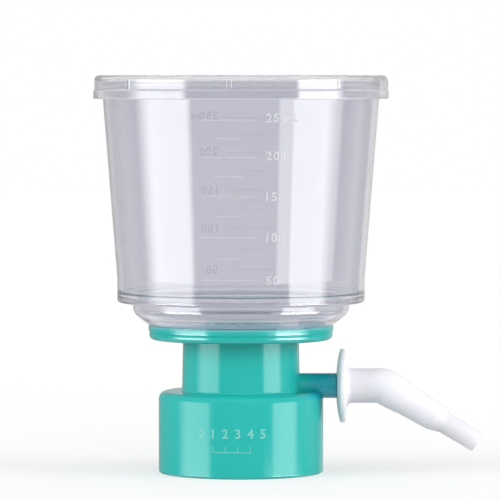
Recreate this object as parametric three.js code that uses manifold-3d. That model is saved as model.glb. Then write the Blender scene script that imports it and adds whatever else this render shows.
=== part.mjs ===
// A bottle-top vacuum filter unit: a lidded clear cup stands on a round membrane, over a base that screws
// on a wide-neck bottle and has a side arm with a turning hose connector.
// Millimetres, +Z up. The pieces are made on the collar's axis, with the collar's foot at z = 0, and the
// whole is then shifted along X so that the origin is below the centre of its box.
import * as THREE from "three";
import { mergeVertices } from "three/addons/utils/BufferGeometryUtils.js";
import Module from "manifold-3d";

const wasm = await Module();
wasm.setup();

// ---- General
const GAP = 0.3; // between pieces that touch
const SIDES = 48; // facets in a full turn of the large pieces
const TUBE_SIDES = 24; // facets in a full turn of the arm and the connector
const PIN_SIDES = 12; // facets in a full turn of the smallest round pieces
const OVERRUN = 1; // how far a cutting tool runs past what it cuts

// ---- Screw collar, for a bottle with a 45 mm thread
const THREAD_ROOT_R = 22.8;
const THREAD_DEPTH = 1.9;
const THREAD_RIB_R = 1.3;
const THREAD_PITCH = 4;
const THREAD_TURNS = 2.5;
const THREAD_STEPS = 24; // in each turn
const THREAD_START = 4.5; // height of the first turn over the collar's foot
const COLLAR_WALL = 1.3;
const COLLAR_H = 24.2;
const COLLAR_CEILING = 2.4;
const COLLAR_SHOULDER = 2.2;
const FOOT_ROUND = 0.35;
const THREAD_LEAD_IN = 0.3;

// ---- Gasket under the collar's ceiling
const GASKET_T = 1.6;
const GASKET_OVERHANG = 0.7; // how far its hole is wider than the neck's bore

// ---- Neck and drip tube
const NECK_R = 17.35;
const NECK_WALL = 1.65;
const NECK_H = 14.9;
const NECK_DRAFT = 0.4;
const NECK_FILLET = 0.6;
const DRIP_BORE_R = 3.7;
const DRIP_WALL = 1.5;
const DRIP_DRAFT = 0.35;
const DRIP_END = 8;

// ---- Membrane, its plate and the flange that carries them
const MEMBRANE_R = 25;
const MEMBRANE_T = 0.3;
const BOSS_MARGIN = 0.7; // boss beyond the membrane's edge
const SEAL_WIDTH = 1.8; // rim of the membrane that lies on the boss
const PLATE_T = 0.8;
const PLATE_HOLE_R = 1.25;
const PLATE_RINGS = 3; // of holes, round a plain centre
const HOLES_PER_RING = 6; // in the first ring, and as many more in each ring after it
const PLATE_EDGE = 4.6; // from the outer ring of holes to the plate's edge
const LEDGE = 1.6; // ledge below the plate's edge
const CONE_DROP = 2.8;
const CONE_WALL = 2;
const DRAIN_RIBS = 6; // radial, on the drain cone, under the plate
const DRAIN_RIB_WIDTH = 1;
const DRAIN_RIB_FROM = 5;
const DRAIN_RIB_INSET = 2.6; // from its outer end to the edge of the cone
const FLANGE_H = 4.8;
const FLANGE_DRAFT = 0.5;
const FLANGE_TOP_ROUND = 0.4;
const FLANGE_FOOT_ROUND = 1.5;
const GROOVE_DEPTH = 0.3;
const GROOVE_WIDTH = 0.5;
const GROOVE_BELOW_TOP = 1.5;
const BOSS_H = 0.8;

// ---- Cup
const CUP_WALL = 1.45;
const CUP_FOOT_WALL = 1.5;
const LIP_T = 1.1;
const LIP_REACH = 1; // lip over the membrane's edge
const BOWL_H = 8.9; // bowl, from the cup's foot to the floor's inner edge
const BOWL_FLARE = 4.5; // how much wider the bowl's outside is at its top than at its foot
const BOWL_ROUND = 3.6;
const BOWL_ROUND_H = 5.6; // centre of that rounding over the cup's foot
const BOWL_SLOPE = 40; // degrees, of the cone between the foot and the rounding
const FLOOR_RISE = 1.9;
const FLOOR_ROUND = 0.4;
const SKIRT_GAP = 3; // between the bowl and the skirt
const SKIRT_H = 7.4;
const SKIRT_BELOW_FLOOR = 2.8;
const SKIRT_ROUND = 0.9;
const BODY_H = 58.6; // tapered body, from the skirt's top to the rim
const BODY_FLARE = 4.6;
const RIM_BEAD = 0.45;
const RIM_BEAD_H = 1.6;

// ---- Lid
const LID_T = 1.3;
const LID_WALL = 0.95;
const LID_H = 7.1;
const LID_BAND_H = 2.5;
const LID_BAND_STEP = 0.35;
const LID_CORNER = 1.4;
const RIB_COUNT = 8;
const RIB_WIDTH = 1.15;
const RIB_DEPTH = 0.6;
const RIB_TURN = -4.3; // degrees from the front

// ---- Side arm, along +X
const ARM_R = 3.7;
const ARM_OVER_SOCKET = 0.25; // arm's underside over the collar's ceiling
const ARM_BORE_R = 1.9;
const ARM_REACH = 4; // from the collar's side to the connector's hub
const SPIGOT_STEP = 0.4; // how much slimmer the spigot is than the arm
const SPIGOT_L = 11;
const BEAD_H = 0.22;
const BEAD_L = 1.2;
const BEAD_FROM_END = 2.2;

// ---- Hose connector
const HUB_WALL = 1.2;
const HUB_L = 0.8;
const DISC_R = 10.95;
const DISC_T = 1.8;
const DISC_ROUND = 0.6;
const TUBE_WALL = 1.37; // round the socket
const TUBE_FILLET = 0.8;
const TUBE_BORE_R = 2.1;
const SOCKET_TO_BEND = 0.5; // from the socket's end to where the bend starts
const BEND_ANGLE = 30.5; // degrees below the arm's axis
const BEND_TANGENT = 1.9;
const CONE_STEP_AT = 7.6;
const CONE_STEP = 0.12;
const CONE_L = 18.3;
const CONE_OVER_TIP = 1.17; // how much wider the cone's end is than the tip, in radius
const SHOULDER_L = 4.5;
const SHOULDER_STEPS = 4;
const TIP_WALL = 0.98;
const TIP_END = 33.3;
const TIP_ROUND = 0.5;

// ---- Vent plug in the connector
const PLUG_FROM_BEND = 3;
const PLUG_L = 10;

// ---- Sizes that follow
const COLLAR_R = THREAD_ROOT_R + COLLAR_WALL;
const SOCKET_TOP = COLLAR_H - COLLAR_CEILING;
const GASKET_TOP = SOCKET_TOP - GAP;
const NECK_BORE_R = NECK_R - NECK_WALL;
const FLANGE_BOTTOM = COLLAR_H + NECK_H;
const FLANGE_TOP = FLANGE_BOTTOM + FLANGE_H;
const BOSS_R = MEMBRANE_R + BOSS_MARGIN;
const BOSS_TOP = FLANGE_TOP + BOSS_H;
const PLATE_SEAT_R = MEMBRANE_R - SEAL_WIDTH;
const PLATE_R = PLATE_SEAT_R - GAP;
const PLATE_RING_PITCH = (PLATE_R - PLATE_EDGE) / PLATE_RINGS;
const PLATE_SEAT = BOSS_TOP - PLATE_T - GAP;
const CONE_TOP_R = PLATE_SEAT_R - LEDGE;
const CONE_BOTTOM = PLATE_SEAT - CONE_DROP;
const MEMBRANE_BOTTOM = BOSS_TOP + GAP;
const MEMBRANE_TOP = MEMBRANE_BOTTOM + MEMBRANE_T;

const CUP_FOOT = FLANGE_TOP + GAP;
const FOOT_INNER_R = BOSS_R + GAP;
const FOOT_R = FOOT_INNER_R + CUP_FOOT_WALL;
const FLANGE_R = FOOT_R;
const LIP_BOTTOM = MEMBRANE_TOP + GAP;
const LIP_R = MEMBRANE_R - LIP_REACH;
const FLOOR_EDGE = CUP_FOOT + BOWL_H;
const BOWL_R = FOOT_R + BOWL_FLARE;
const SKIRT_R = BOWL_R + SKIRT_GAP + CUP_WALL;
const SKIRT_BOTTOM = FLOOR_EDGE - SKIRT_BELOW_FLOOR;
const SKIRT_TOP = SKIRT_BOTTOM + SKIRT_H;
const CUP_TOP = SKIRT_TOP + BODY_H;
const CUP_TOP_R = SKIRT_R + BODY_FLARE;
const RIM_R = CUP_TOP_R + RIM_BEAD;

const LID_INNER_R = RIM_R + GAP + RIB_DEPTH;
const LID_R = LID_INNER_R + LID_WALL;
const LID_TOP = CUP_TOP + GAP + LID_T;
const LID_BOTTOM = LID_TOP - LID_H;
const LID_CEILING = LID_TOP - LID_T;

const ARM_Z = SOCKET_TOP + ARM_OVER_SOCKET + ARM_R;
const ARM_END = COLLAR_R + ARM_REACH;
const SPIGOT_R = ARM_R - SPIGOT_STEP;
const SPIGOT_END = ARM_END + SPIGOT_L;
const HUB_X = ARM_END + GAP;
const DISC_X = HUB_X + HUB_L;
const SOCKET_R = SPIGOT_R + GAP;
const SOCKET_END = SPIGOT_END + GAP;
const HUB_R = SOCKET_R + HUB_WALL;
const TUBE_R = SOCKET_R + TUBE_WALL;
const BEND_X = SOCKET_END + SOCKET_TO_BEND + BEND_TANGENT;
const TIP_R = TUBE_BORE_R + TIP_WALL;
const CONE_END_R = TIP_R + CONE_OVER_TIP;

// ---- Materials
const clear = (name) =>
  new THREE.MeshStandardMaterial({ name, color: 0xe9eaf2, roughness: 0.06, transparent: true, opacity: 0.3 });
const plain = (name, color, roughness) => new THREE.MeshStandardMaterial({ name, color, roughness });

// ---- Helpers

// A closed geometry as a manifold-3d solid.
function solid(geometry) {
  const bare = new THREE.BufferGeometry();
  bare.setAttribute("position", geometry.getAttribute("position"));
  bare.setIndex(geometry.getIndex());
  const merged = mergeVertices(bare, 1e-4);
  const index = merged.getIndex().array;
  const kept = [];
  for (let i = 0; i < index.length; i += 3) {
    const [a, b, c] = index.slice(i, i + 3);
    if (a !== b && b !== c && c !== a) kept.push(a, b, c);
  }
  return new wasm.Manifold(
    new wasm.Mesh({
      numProp: 3,
      vertProperties: merged.getAttribute("position").array,
      triVerts: new Uint32Array(kept),
    }),
  );
}

// A solid as a named mesh.
function piece(name, body, material) {
  const made = body.getMesh();
  const geometry = new THREE.BufferGeometry();
  geometry.setAttribute("position", new THREE.BufferAttribute(made.vertProperties, 3));
  geometry.setIndex(new THREE.BufferAttribute(made.triVerts, 1));
  geometry.computeVertexNormals();
  const mesh = new THREE.Mesh(geometry, material);
  mesh.name = name;
  return mesh;
}

// Points of an arc about [r, z], between two angles in degrees.
function arc(r, z, radius, from, to, steps = 4) {
  return Array.from({ length: steps + 1 }, (_, i) => {
    const a = THREE.MathUtils.degToRad(from + ((to - from) * i) / steps);
    return [r + radius * Math.cos(a), z + radius * Math.sin(a)];
  });
}

// A solid turned about Z from an outline of [r, z] points, which runs anticlockwise.
function turned(outline, sides = SIDES) {
  const points = outline.map(([r, z]) => new THREE.Vector2(r, z));
  points.push(points[0].clone());
  return solid(new THREE.LatheGeometry(points, sides).rotateX(Math.PI / 2));
}

// A plain disc or rod about Z.
function rod(radius, low, high, sides = SIDES) {
  return turned([[0, low], [radius, low], [radius, high], [0, high]], sides);
}

// A solid made about Z, laid along +X at the arm's height: its z becomes x.
function alongArm(body) {
  return body.rotate([0, 90, 0]).translate([0, 0, ARM_Z]);
}

// A solid made about Z, laid along the connector's nozzle: its z runs from the bend's corner.
function alongNozzle(body) {
  return body.rotate([0, 90 + BEND_ANGLE, 0]).translate([BEND_X, 0, ARM_Z]);
}

// A round bar through the bend, from the arm's direction to the nozzle's.
function elbow(radius) {
  const slope = THREE.MathUtils.degToRad(BEND_ANGLE);
  const corner = new THREE.Vector3(BEND_X, 0, ARM_Z);
  const start = corner.clone().add(new THREE.Vector3(-BEND_TANGENT, 0, 0));
  const way = new THREE.Vector3(Math.cos(slope), 0, -Math.sin(slope));
  const end = corner.clone().addScaledVector(way, BEND_TANGENT);
  const circle = new THREE.Shape().absarc(0, 0, radius, 0, 2 * Math.PI, false);
  return solid(
    new THREE.ExtrudeGeometry(circle, {
      steps: 4,
      curveSegments: TUBE_SIDES / 2,
      extrudePath: new THREE.QuadraticBezierCurve3(start, corner, end),
    }),
  );
}

// ---- Base

function baseBody() {
  const groove = FLANGE_TOP - GROOVE_BELOW_TOP;
  const flangeFootR = FLANGE_R - FLANGE_DRAFT;
  const neckTopR = NECK_R - NECK_DRAFT;
  return turned([
    [THREAD_ROOT_R + THREAD_LEAD_IN, 0],
    ...arc(COLLAR_R - FOOT_ROUND, FOOT_ROUND, FOOT_ROUND, -90, 0, 2),
    ...arc(COLLAR_R - COLLAR_SHOULDER, COLLAR_H - COLLAR_SHOULDER, COLLAR_SHOULDER, 0, 90),
    [NECK_R + NECK_FILLET, COLLAR_H],
    [NECK_R, COLLAR_H + NECK_FILLET],
    [neckTopR, FLANGE_BOTTOM - NECK_FILLET],
    [neckTopR + NECK_FILLET, FLANGE_BOTTOM],
    ...arc(flangeFootR - FLANGE_FOOT_ROUND, FLANGE_BOTTOM + FLANGE_FOOT_ROUND, FLANGE_FOOT_ROUND, -90, 0, 3),
    [FLANGE_R - FLANGE_DRAFT / 2, groove - GROOVE_WIDTH / 2],
    [FLANGE_R - FLANGE_DRAFT / 2 - GROOVE_DEPTH, groove],
    [FLANGE_R, groove + GROOVE_WIDTH / 2],
    [FLANGE_R, FLANGE_TOP - FLANGE_TOP_ROUND],
    [FLANGE_R - FLANGE_TOP_ROUND, FLANGE_TOP],
    [BOSS_R, FLANGE_TOP],
    [BOSS_R, BOSS_TOP],
    [PLATE_SEAT_R, BOSS_TOP],
    [PLATE_SEAT_R, PLATE_SEAT],
    [CONE_TOP_R, PLATE_SEAT],
    [DRIP_BORE_R, CONE_BOTTOM],
    [DRIP_BORE_R, DRIP_END],
    [DRIP_BORE_R + DRIP_WALL - DRIP_DRAFT, DRIP_END],
    [DRIP_BORE_R + DRIP_WALL, CONE_BOTTOM - CONE_WALL],
    [NECK_BORE_R, coneHeight(NECK_BORE_R) - CONE_WALL],
    [NECK_BORE_R, SOCKET_TOP],
    [THREAD_ROOT_R, SOCKET_TOP],
    [THREAD_ROOT_R, THREAD_LEAD_IN],
  ]);
}

// Height of the drain cone's face at a radius.
function coneHeight(r) {
  return CONE_BOTTOM + (CONE_DROP * (r - DRIP_BORE_R)) / (CONE_TOP_R - DRIP_BORE_R);
}

class Helix extends THREE.Curve {
  constructor(radius, start, pitch, turns) {
    super();
    Object.assign(this, { radius, start, pitch, turns });
  }
  getPoint(t) {
    const a = 2 * Math.PI * this.turns * t;
    const z = this.start + this.pitch * this.turns * t;
    return new THREE.Vector3(this.radius * Math.cos(a), this.radius * Math.sin(a), z);
  }
}

// The thread's round rib, sunk in the collar's wall.
function threadRib() {
  const centreR = THREAD_ROOT_R - THREAD_DEPTH + THREAD_RIB_R;
  const section = new THREE.Shape().absarc(0, 0, THREAD_RIB_R, 0, 2 * Math.PI, false);
  return solid(
    new THREE.ExtrudeGeometry(section, {
      steps: Math.round(THREAD_STEPS * THREAD_TURNS),
      curveSegments: 3,
      extrudePath: new Helix(centreR, THREAD_START, THREAD_PITCH, THREAD_TURNS),
    }),
  );
}

// The arm outside the neck, with the spigot that the connector turns on.
function armBody() {
  const root = NECK_BORE_R + NECK_WALL / 3;
  const bead = SPIGOT_END - BEAD_FROM_END;
  return alongArm(
    turned(
      [
        [0, root],
        [ARM_R, root],
        [ARM_R, ARM_END],
        [SPIGOT_R, ARM_END],
        [SPIGOT_R, bead - BEAD_L / 2],
        [SPIGOT_R + BEAD_H, bead],
        [SPIGOT_R, bead + BEAD_L / 2],
        [SPIGOT_R, SPIGOT_END],
        [0, SPIGOT_END],
      ],
      TUBE_SIDES,
    ),
  );
}

function armBore() {
  const start = (DRIP_BORE_R + DRIP_WALL + NECK_BORE_R) / 2;
  return alongArm(rod(ARM_BORE_R, start, SPIGOT_END + OVERRUN, TUBE_SIDES));
}

// A rib that stands on the drain cone and carries the plate. Its foot is sunk in the cone's wall.
function drainRib(degrees) {
  const from = DRAIN_RIB_FROM;
  const to = CONE_TOP_R - DRAIN_RIB_INSET;
  const foot = (coneHeight(from) + coneHeight(NECK_BORE_R) - CONE_WALL) / 2;
  const block = new THREE.BoxGeometry(to - from, DRAIN_RIB_WIDTH, PLATE_SEAT - foot);
  block.translate((from + to) / 2, 0, (PLATE_SEAT + foot) / 2);
  return solid(block).rotate([0, 0, degrees]);
}

function base() {
  let body = baseBody().add(threadRib()).add(armBody()).subtract(armBore());
  for (let i = 0; i < DRAIN_RIBS; i++) body = body.add(drainRib((360 * i) / DRAIN_RIBS));
  return body;
}

// ---- Pieces that lie in the base

function gasket() {
  const outer = THREAD_ROOT_R - GAP;
  const inner = NECK_BORE_R + GASKET_OVERHANG;
  return turned([
    [inner, GASKET_TOP - GASKET_T],
    [outer, GASKET_TOP - GASKET_T],
    [outer, GASKET_TOP],
    [inner, GASKET_TOP],
  ]);
}

function supportPlate() {
  const bottom = PLATE_SEAT + GAP;
  let plate = rod(PLATE_R, bottom, bottom + PLATE_T);
  const drill = rod(PLATE_HOLE_R, bottom - OVERRUN, bottom + PLATE_T + OVERRUN, PIN_SIDES / 2);
  for (let ring = 1; ring <= PLATE_RINGS; ring++) {
    const holes = HOLES_PER_RING * ring;
    for (let i = 0; i < holes; i++) {
      const at = drill.translate([ring * PLATE_RING_PITCH, 0, 0]).rotate([0, 0, (360 * i) / holes]);
      plate = plate.subtract(at);
    }
  }
  return plate;
}

function membrane() {
  return rod(MEMBRANE_R, MEMBRANE_BOTTOM, MEMBRANE_TOP);
}

// ---- Cup

// A side of the bowl as [r, z] points from below: a cone of the bowl's slope up from a height, then the
// rounding into the upright wall. The inset is how far the side lies inside the bowl's outer face.
function bowlSide(from, inset) {
  const round = arc(BOWL_R - BOWL_ROUND, CUP_FOOT + BOWL_ROUND_H, BOWL_ROUND - inset, BOWL_SLOPE - 90, 0);
  const [r, z] = round[0];
  const run = (z - from) / Math.tan(THREE.MathUtils.degToRad(BOWL_SLOPE));
  return [[r - run, from], ...round];
}

function cup() {
  const skirtInner = SKIRT_R - CUP_WALL;
  const innerTopR = CUP_TOP_R - CUP_WALL;
  const floorTop = FLOOR_EDGE + FLOOR_RISE;
  const lipTop = LIP_BOTTOM + LIP_T;
  const outside = bowlSide(CUP_FOOT, 0).slice(1);
  const inside = bowlSide(lipTop, CUP_WALL).reverse();
  return turned([
    [LIP_R, LIP_BOTTOM],
    [FOOT_INNER_R, LIP_BOTTOM],
    [FOOT_INNER_R, CUP_FOOT],
    [FOOT_R, CUP_FOOT],
    [FOOT_R, CUP_FOOT + FOOT_ROUND],
    ...outside,
    [BOWL_R, FLOOR_EDGE - CUP_WALL],
    [skirtInner, floorTop - CUP_WALL],
    [skirtInner, SKIRT_BOTTOM],
    ...arc(SKIRT_R - SKIRT_ROUND, SKIRT_BOTTOM + SKIRT_ROUND, SKIRT_ROUND, -90, 0, 3),
    [SKIRT_R, SKIRT_TOP],
    [CUP_TOP_R, CUP_TOP - RIM_BEAD_H],
    [RIM_R, CUP_TOP - RIM_BEAD_H + RIM_BEAD],
    [RIM_R, CUP_TOP],
    [innerTopR, CUP_TOP],
    [skirtInner, SKIRT_TOP],
    [skirtInner, floorTop + FLOOR_ROUND],
    [skirtInner - FLOOR_ROUND, floorTop],
    [BOWL_R, FLOOR_EDGE],
    [BOWL_R - CUP_WALL, FLOOR_EDGE - CUP_WALL],
    ...inside,
    [LIP_R, lipTop],
  ]);
}

// ---- Lid

function lidShell() {
  const bandR = LID_R + LID_BAND_STEP;
  const bandInner = LID_INNER_R + LID_BAND_STEP;
  const bandTop = LID_BOTTOM + LID_BAND_H;
  return turned([
    [0, LID_CEILING],
    [LID_INNER_R, LID_CEILING],
    [LID_INNER_R, bandTop + LID_BAND_STEP],
    [bandInner, bandTop],
    [bandInner, LID_BOTTOM],
    [bandR - LID_BAND_STEP, LID_BOTTOM],
    [bandR, LID_BOTTOM + 2 * LID_BAND_STEP],
    [bandR, bandTop],
    [LID_R, bandTop + LID_BAND_STEP],
    ...arc(LID_R - LID_CORNER, LID_TOP - LID_CORNER, LID_CORNER, 0, 90),
    [0, LID_TOP],
  ]);
}

function lidRib(degrees) {
  const bottom = LID_BOTTOM + LID_BAND_H + LID_BAND_STEP;
  const top = LID_CEILING + LID_T / 2;
  const depth = RIB_DEPTH + LID_WALL / 2;
  const block = new THREE.BoxGeometry(RIB_WIDTH, depth, top - bottom);
  block.translate(0, -(LID_INNER_R - RIB_DEPTH + depth / 2), (top + bottom) / 2);
  return solid(block).rotate([0, 0, degrees]);
}

function lid() {
  let body = lidShell();
  for (let i = 0; i < RIB_COUNT; i++) body = body.add(lidRib(RIB_TURN + (360 * i) / RIB_COUNT));
  return body;
}

// ---- Hose connector

function connectorTube() {
  return alongArm(
    turned(
      [
        [0, HUB_X],
        [HUB_R, HUB_X],
        [HUB_R, DISC_X],
        ...arc(DISC_R - DISC_ROUND, DISC_X + DISC_ROUND, DISC_ROUND, -90, 0, 2),
        ...arc(DISC_R - DISC_ROUND, DISC_X + DISC_T - DISC_ROUND, DISC_ROUND, 0, 90, 2),
        [TUBE_R + TUBE_FILLET, DISC_X + DISC_T],
        [TUBE_R, DISC_X + DISC_T + TUBE_FILLET],
        [TUBE_R, BEND_X - BEND_TANGENT + GAP],
        [0, BEND_X - BEND_TANGENT + GAP],
      ],
      TUBE_SIDES,
    ),
  );
}

// Radius of the nozzle's cone at a distance from the bend's corner.
function nozzleRadius(s) {
  return TUBE_R + ((CONE_END_R - TUBE_R) * s) / CONE_L;
}

// The fall from the cone's end to the tip, as half a wave.
function shoulder() {
  return Array.from({ length: SHOULDER_STEPS + 1 }, (_, i) => {
    const t = i / SHOULDER_STEPS;
    const drop = (1 - Math.cos(Math.PI * t)) / 2;
    return [CONE_END_R + (TIP_R - CONE_END_R) * drop, CONE_L + SHOULDER_L * t];
  });
}

function connectorNozzle() {
  const start = BEND_TANGENT - GAP;
  return alongNozzle(
    turned(
      [
        [0, start],
        [TUBE_R, start],
        [nozzleRadius(CONE_STEP_AT), CONE_STEP_AT],
        [nozzleRadius(CONE_STEP_AT) - CONE_STEP, CONE_STEP_AT + CONE_STEP],
        ...shoulder(),
        ...arc(TIP_R - TIP_ROUND, TIP_END - TIP_ROUND, TIP_ROUND, 0, 90, 2),
        [0, TIP_END],
      ],
      TUBE_SIDES,
    ),
  );
}

function connectorBore() {
  const bead = SPIGOT_END - BEAD_FROM_END;
  const socket = turned(
    [
      [0, HUB_X - OVERRUN],
      [SOCKET_R, HUB_X - OVERRUN],
      [SOCKET_R, bead - BEAD_L / 2],
      [SOCKET_R + BEAD_H, bead],
      [SOCKET_R, bead + BEAD_L / 2],
      [SOCKET_R, SOCKET_END],
      [0, SOCKET_END],
    ],
    TUBE_SIDES,
  );
  const through = rod(TUBE_BORE_R, SOCKET_END - OVERRUN, BEND_X - BEND_TANGENT + GAP, TUBE_SIDES);
  const nozzle = rod(TUBE_BORE_R, BEND_TANGENT - GAP, TIP_END + OVERRUN, TUBE_SIDES);
  return alongArm(socket.add(through)).add(elbow(TUBE_BORE_R)).add(alongNozzle(nozzle));
}

function connector() {
  return connectorTube().add(elbow(TUBE_R)).add(connectorNozzle()).subtract(connectorBore());
}

function ventPlug() {
  return alongNozzle(rod(TUBE_BORE_R - GAP, PLUG_FROM_BEND, PLUG_FROM_BEND + PLUG_L, PIN_SIDES));
}

// ---- The unit

const unit = new THREE.Group();
unit.name = "vacuum_filter_unit";
unit.add(
  piece("base", base(), plain("teal_plastic", 0x38b5ad, 0.25)),
  piece("bottle_gasket", gasket(), plain("silicone", 0xdcdcd6, 0.6)),
  piece("support_plate", supportPlate(), plain("white_plastic", 0xeceef0, 0.45)),
  piece("membrane", membrane(), plain("membrane", 0xf4f4f2, 0.9)),
  piece("cup", cup(), clear("clear_cup")),
  piece("lid", lid(), clear("clear_lid")),
);
const swivel = new THREE.Group();
swivel.add(
  piece("hose_connector", connector(), plain("white_nozzle", 0xefeef5, 0.35)),
  piece("vent_plug", ventPlug(), plain("fibre", 0xf3f1ea, 1)),
);
unit.add(swivel);

const whole = new THREE.Box3().setFromObject(unit, true);
unit.position.x = -(whole.min.x + whole.max.x) / 2;

const part = new THREE.Group();
part.add(unit);

export default part;
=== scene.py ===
"""Looks of a bottle-top vacuum filter unit, built round its CAD frame.

Outlines are in millimetres, on the collar's axis with the collar's foot at z = 0, and each piece is made in
metres at its place in the frame. The large sizes come from the frame's boxes, the rest are named here.
"""

import math

import bpy
from mathutils import Matrix, Vector


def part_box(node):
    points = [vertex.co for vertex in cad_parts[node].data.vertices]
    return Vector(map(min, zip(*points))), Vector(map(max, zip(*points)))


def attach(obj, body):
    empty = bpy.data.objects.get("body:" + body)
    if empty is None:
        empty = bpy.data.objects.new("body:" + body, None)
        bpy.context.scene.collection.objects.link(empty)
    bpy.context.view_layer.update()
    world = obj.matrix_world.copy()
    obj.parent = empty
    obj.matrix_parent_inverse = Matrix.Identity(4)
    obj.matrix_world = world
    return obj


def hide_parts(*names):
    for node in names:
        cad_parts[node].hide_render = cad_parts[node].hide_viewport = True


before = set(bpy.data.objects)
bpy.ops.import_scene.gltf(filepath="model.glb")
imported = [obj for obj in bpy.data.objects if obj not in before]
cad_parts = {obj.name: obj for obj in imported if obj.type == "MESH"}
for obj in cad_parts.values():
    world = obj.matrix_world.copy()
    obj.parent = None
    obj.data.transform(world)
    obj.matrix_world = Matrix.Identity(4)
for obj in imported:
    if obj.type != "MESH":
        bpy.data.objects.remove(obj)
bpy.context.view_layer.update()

MM = 0.001
GAP = 0.3  # between pieces that touch
SIDES = 192  # in a full turn of the large pieces
TUBE_SIDES = 72  # in a full turn of the arm and the connector
PLATE_SIDES = 128  # round the holed plate's edge
SMALL_SIDES = 20  # round a small hole, or the thread's rib
THREAD_STEPS = 96  # along one turn of the thread
ARC_STEP = math.radians(7)  # of the arcs that round an outline's corners
SMOOTH_ANGLE = math.radians(32)  # edges that turn further stay sharp


def span(node):
    """A CAD node's lowest and highest corner in millimetres."""
    low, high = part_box(node)
    return low / MM, high / MM


# ---- Sizes from the frame
_, base_high = span("base")
gasket_low, gasket_high = span("bottle_gasket")
plate_low, plate_high = span("support_plate")
membrane_low, membrane_high = span("membrane")
cup_low, cup_high = span("cup")
lid_low, lid_high = span("lid")
connector_low, connector_high = span("hose_connector")
AXIS_X = (cup_low.x + cup_high.x) / 2

GASKET_R = gasket_high.y
PLATE_R = plate_high.y
MEMBRANE_R = membrane_high.y
FLANGE_R = base_high.y
RIM_R = cup_high.y
LID_BAND_R = lid_high.y
DISC_R = connector_high.y
BOSS_TOP = base_high.z
CUP_FOOT = cup_low.z
CUP_TOP = cup_high.z
LID_TOP = lid_high.z - 0.15
LID_BOTTOM = lid_low.z
ARM_Z = connector_high.z - DISC_R
HUB_X = connector_low.x - AXIS_X
SPIGOT_END = base_high.x - AXIS_X

# ---- Screw collar and neck
THREAD_ROOT_R = GASKET_R + GAP
THREAD_DEPTH = 1.9
THREAD_RIB_R = 1.3
THREAD_PITCH = 4
THREAD_TURNS = 2.5
THREAD_START = 4.5
THREAD_RUNOUT = 0.045  # share of its length over which it runs out, at each end
THREAD_SINK = 1.2  # how far its ends go into the wall
THREAD_END_LOSS = 0.65  # share of its thickness that its ends lose
COLLAR_R = THREAD_ROOT_R + 1.6
COLLAR_H = 24.2
COLLAR_SHOULDER = 2.2
SOCKET_TOP = gasket_high.z + GAP
NECK_R = 17.5
NECK_TOP_R = 17.2
NECK_BORE_R = 15.7
DRIP_BORE_R = 3.7
DRIP_R = 5.2
DRIP_END_R = 4.85
DRIP_END = 8
GASKET_INNER_R = NECK_BORE_R + 0.7

# ---- Flange and the seat of the plate
FLANGE_BOTTOM = 39.55
FLANGE_TOP = CUP_FOOT - GAP
FLANGE_FOOT_R = FLANGE_R - 0.5
GROOVE = FLANGE_TOP - 2.2
GROOVE_DEPTH = 0.3
GROOVE_HALF = 0.3  # half its height
BAND_UNDER_R = FLANGE_R - 0.25  # of the flange at the foot of the groove
BAND_OVER_R = FLANGE_R - 0.2  # and at its top, from where the flange leans out to its full radius
FLANGE_SHEEN_DEPTH = 1.3  # how far down from its top the flange is painted paler, a painted sheen of the clear foot over it
BOSS_R = MEMBRANE_R + 0.9
RIM_TOP = membrane_high.z + 0.9  # of the raised edge round the membrane, in a groove of the cup's foot
RIM_INNER_R = MEMBRANE_R + GAP
HOLE_R = 1.25
HOLE_RINGS = 3
HOLE_PITCH = (PLATE_R - 4.6) / HOLE_RINGS
PLATE_SEAT = plate_low.z - GAP
PLATE_SEAT_R = PLATE_R + GAP
CONE_TOP_R = PLATE_SEAT_R - 1.6
CONE_BOTTOM = PLATE_SEAT - 2.8
CONE_WALL = 2
DRAIN_RIBS = 6
DRAIN_RIB_HALF = 0.5  # half a rib's width
DRAIN_RIB_FROM = 5
DRAIN_RIB_TO = CONE_TOP_R - 2.6

# ---- Arm and spigot
ARM_R = 3.7
ARM_BORE_R = 1.9
ARM_ROOT = NECK_BORE_R + 0.55
ARM_END = COLLAR_R + 4
SPIGOT_R = 3.3
SPIGOT_BEAD = SPIGOT_END - 2.2
BEAD_RISE = 0.22
BEAD_REACH = 0.6  # to each side of its middle

# ---- Cup
CUP_WALL = 1.45
WELD_LAP = 0.05  # how far the cup's foot reaches into what it is welded to, with no air between
FOOT_INNER_R = BOSS_R - WELD_LAP
FOOT_OUTER_R = FLANGE_R - 0.1
FOOT_WALL = 1.0
POCKET_TOP = RIM_TOP + 0.1  # of the air round the base's raised edge
POCKET_R = FOOT_INNER_R + 0.15
POCKET_INNER_R = RIM_INNER_R - 0.1
LIP_BOTTOM = membrane_high.z + GAP
WELD_RIBS = 200
WELD_RIB_HALF = 0.36  # half a rib's width
WELD_RIB_REACH = (0.3, 0.1)  # out of the raised edge, and into it
WELD_RIB_FOOT = FLANGE_TOP + 0.65
WELD_RIB_TOP = RIM_TOP - 0.15
LIP_TOP = LIP_BOTTOM + 1.1
LIP_R = MEMBRANE_R - 1
BOWL_R = FLANGE_R + 4.5
BOWL_ROUND = 3.6
BOWL_SLOPE = math.radians(40)  # of its inside
BOWL_CORNER = 3.3  # where the bowl's cone would meet its upright wall, over the cup's foot
SKIRT_BOTTOM = CUP_FOOT + 6.45
FLOOR_EDGE = SKIRT_BOTTOM + 2.85
FLOOR_TOP = FLOOR_EDGE + 0.3
SKIRT_TOP = SKIRT_BOTTOM + 7.05
SKIRT_R = BOWL_R + 3.2 + CUP_WALL
CUP_TOP_R = RIM_R - 0.3
BEAD_BOTTOM = CUP_TOP - 1.6
BEAD_SLANT = 0.45
FLARE_ROUND = 6  # where the upright wall starts to flare
WALL_FLARE = (CUP_TOP_R - SKIRT_R) / (BEAD_BOTTOM - SKIRT_TOP)

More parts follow.
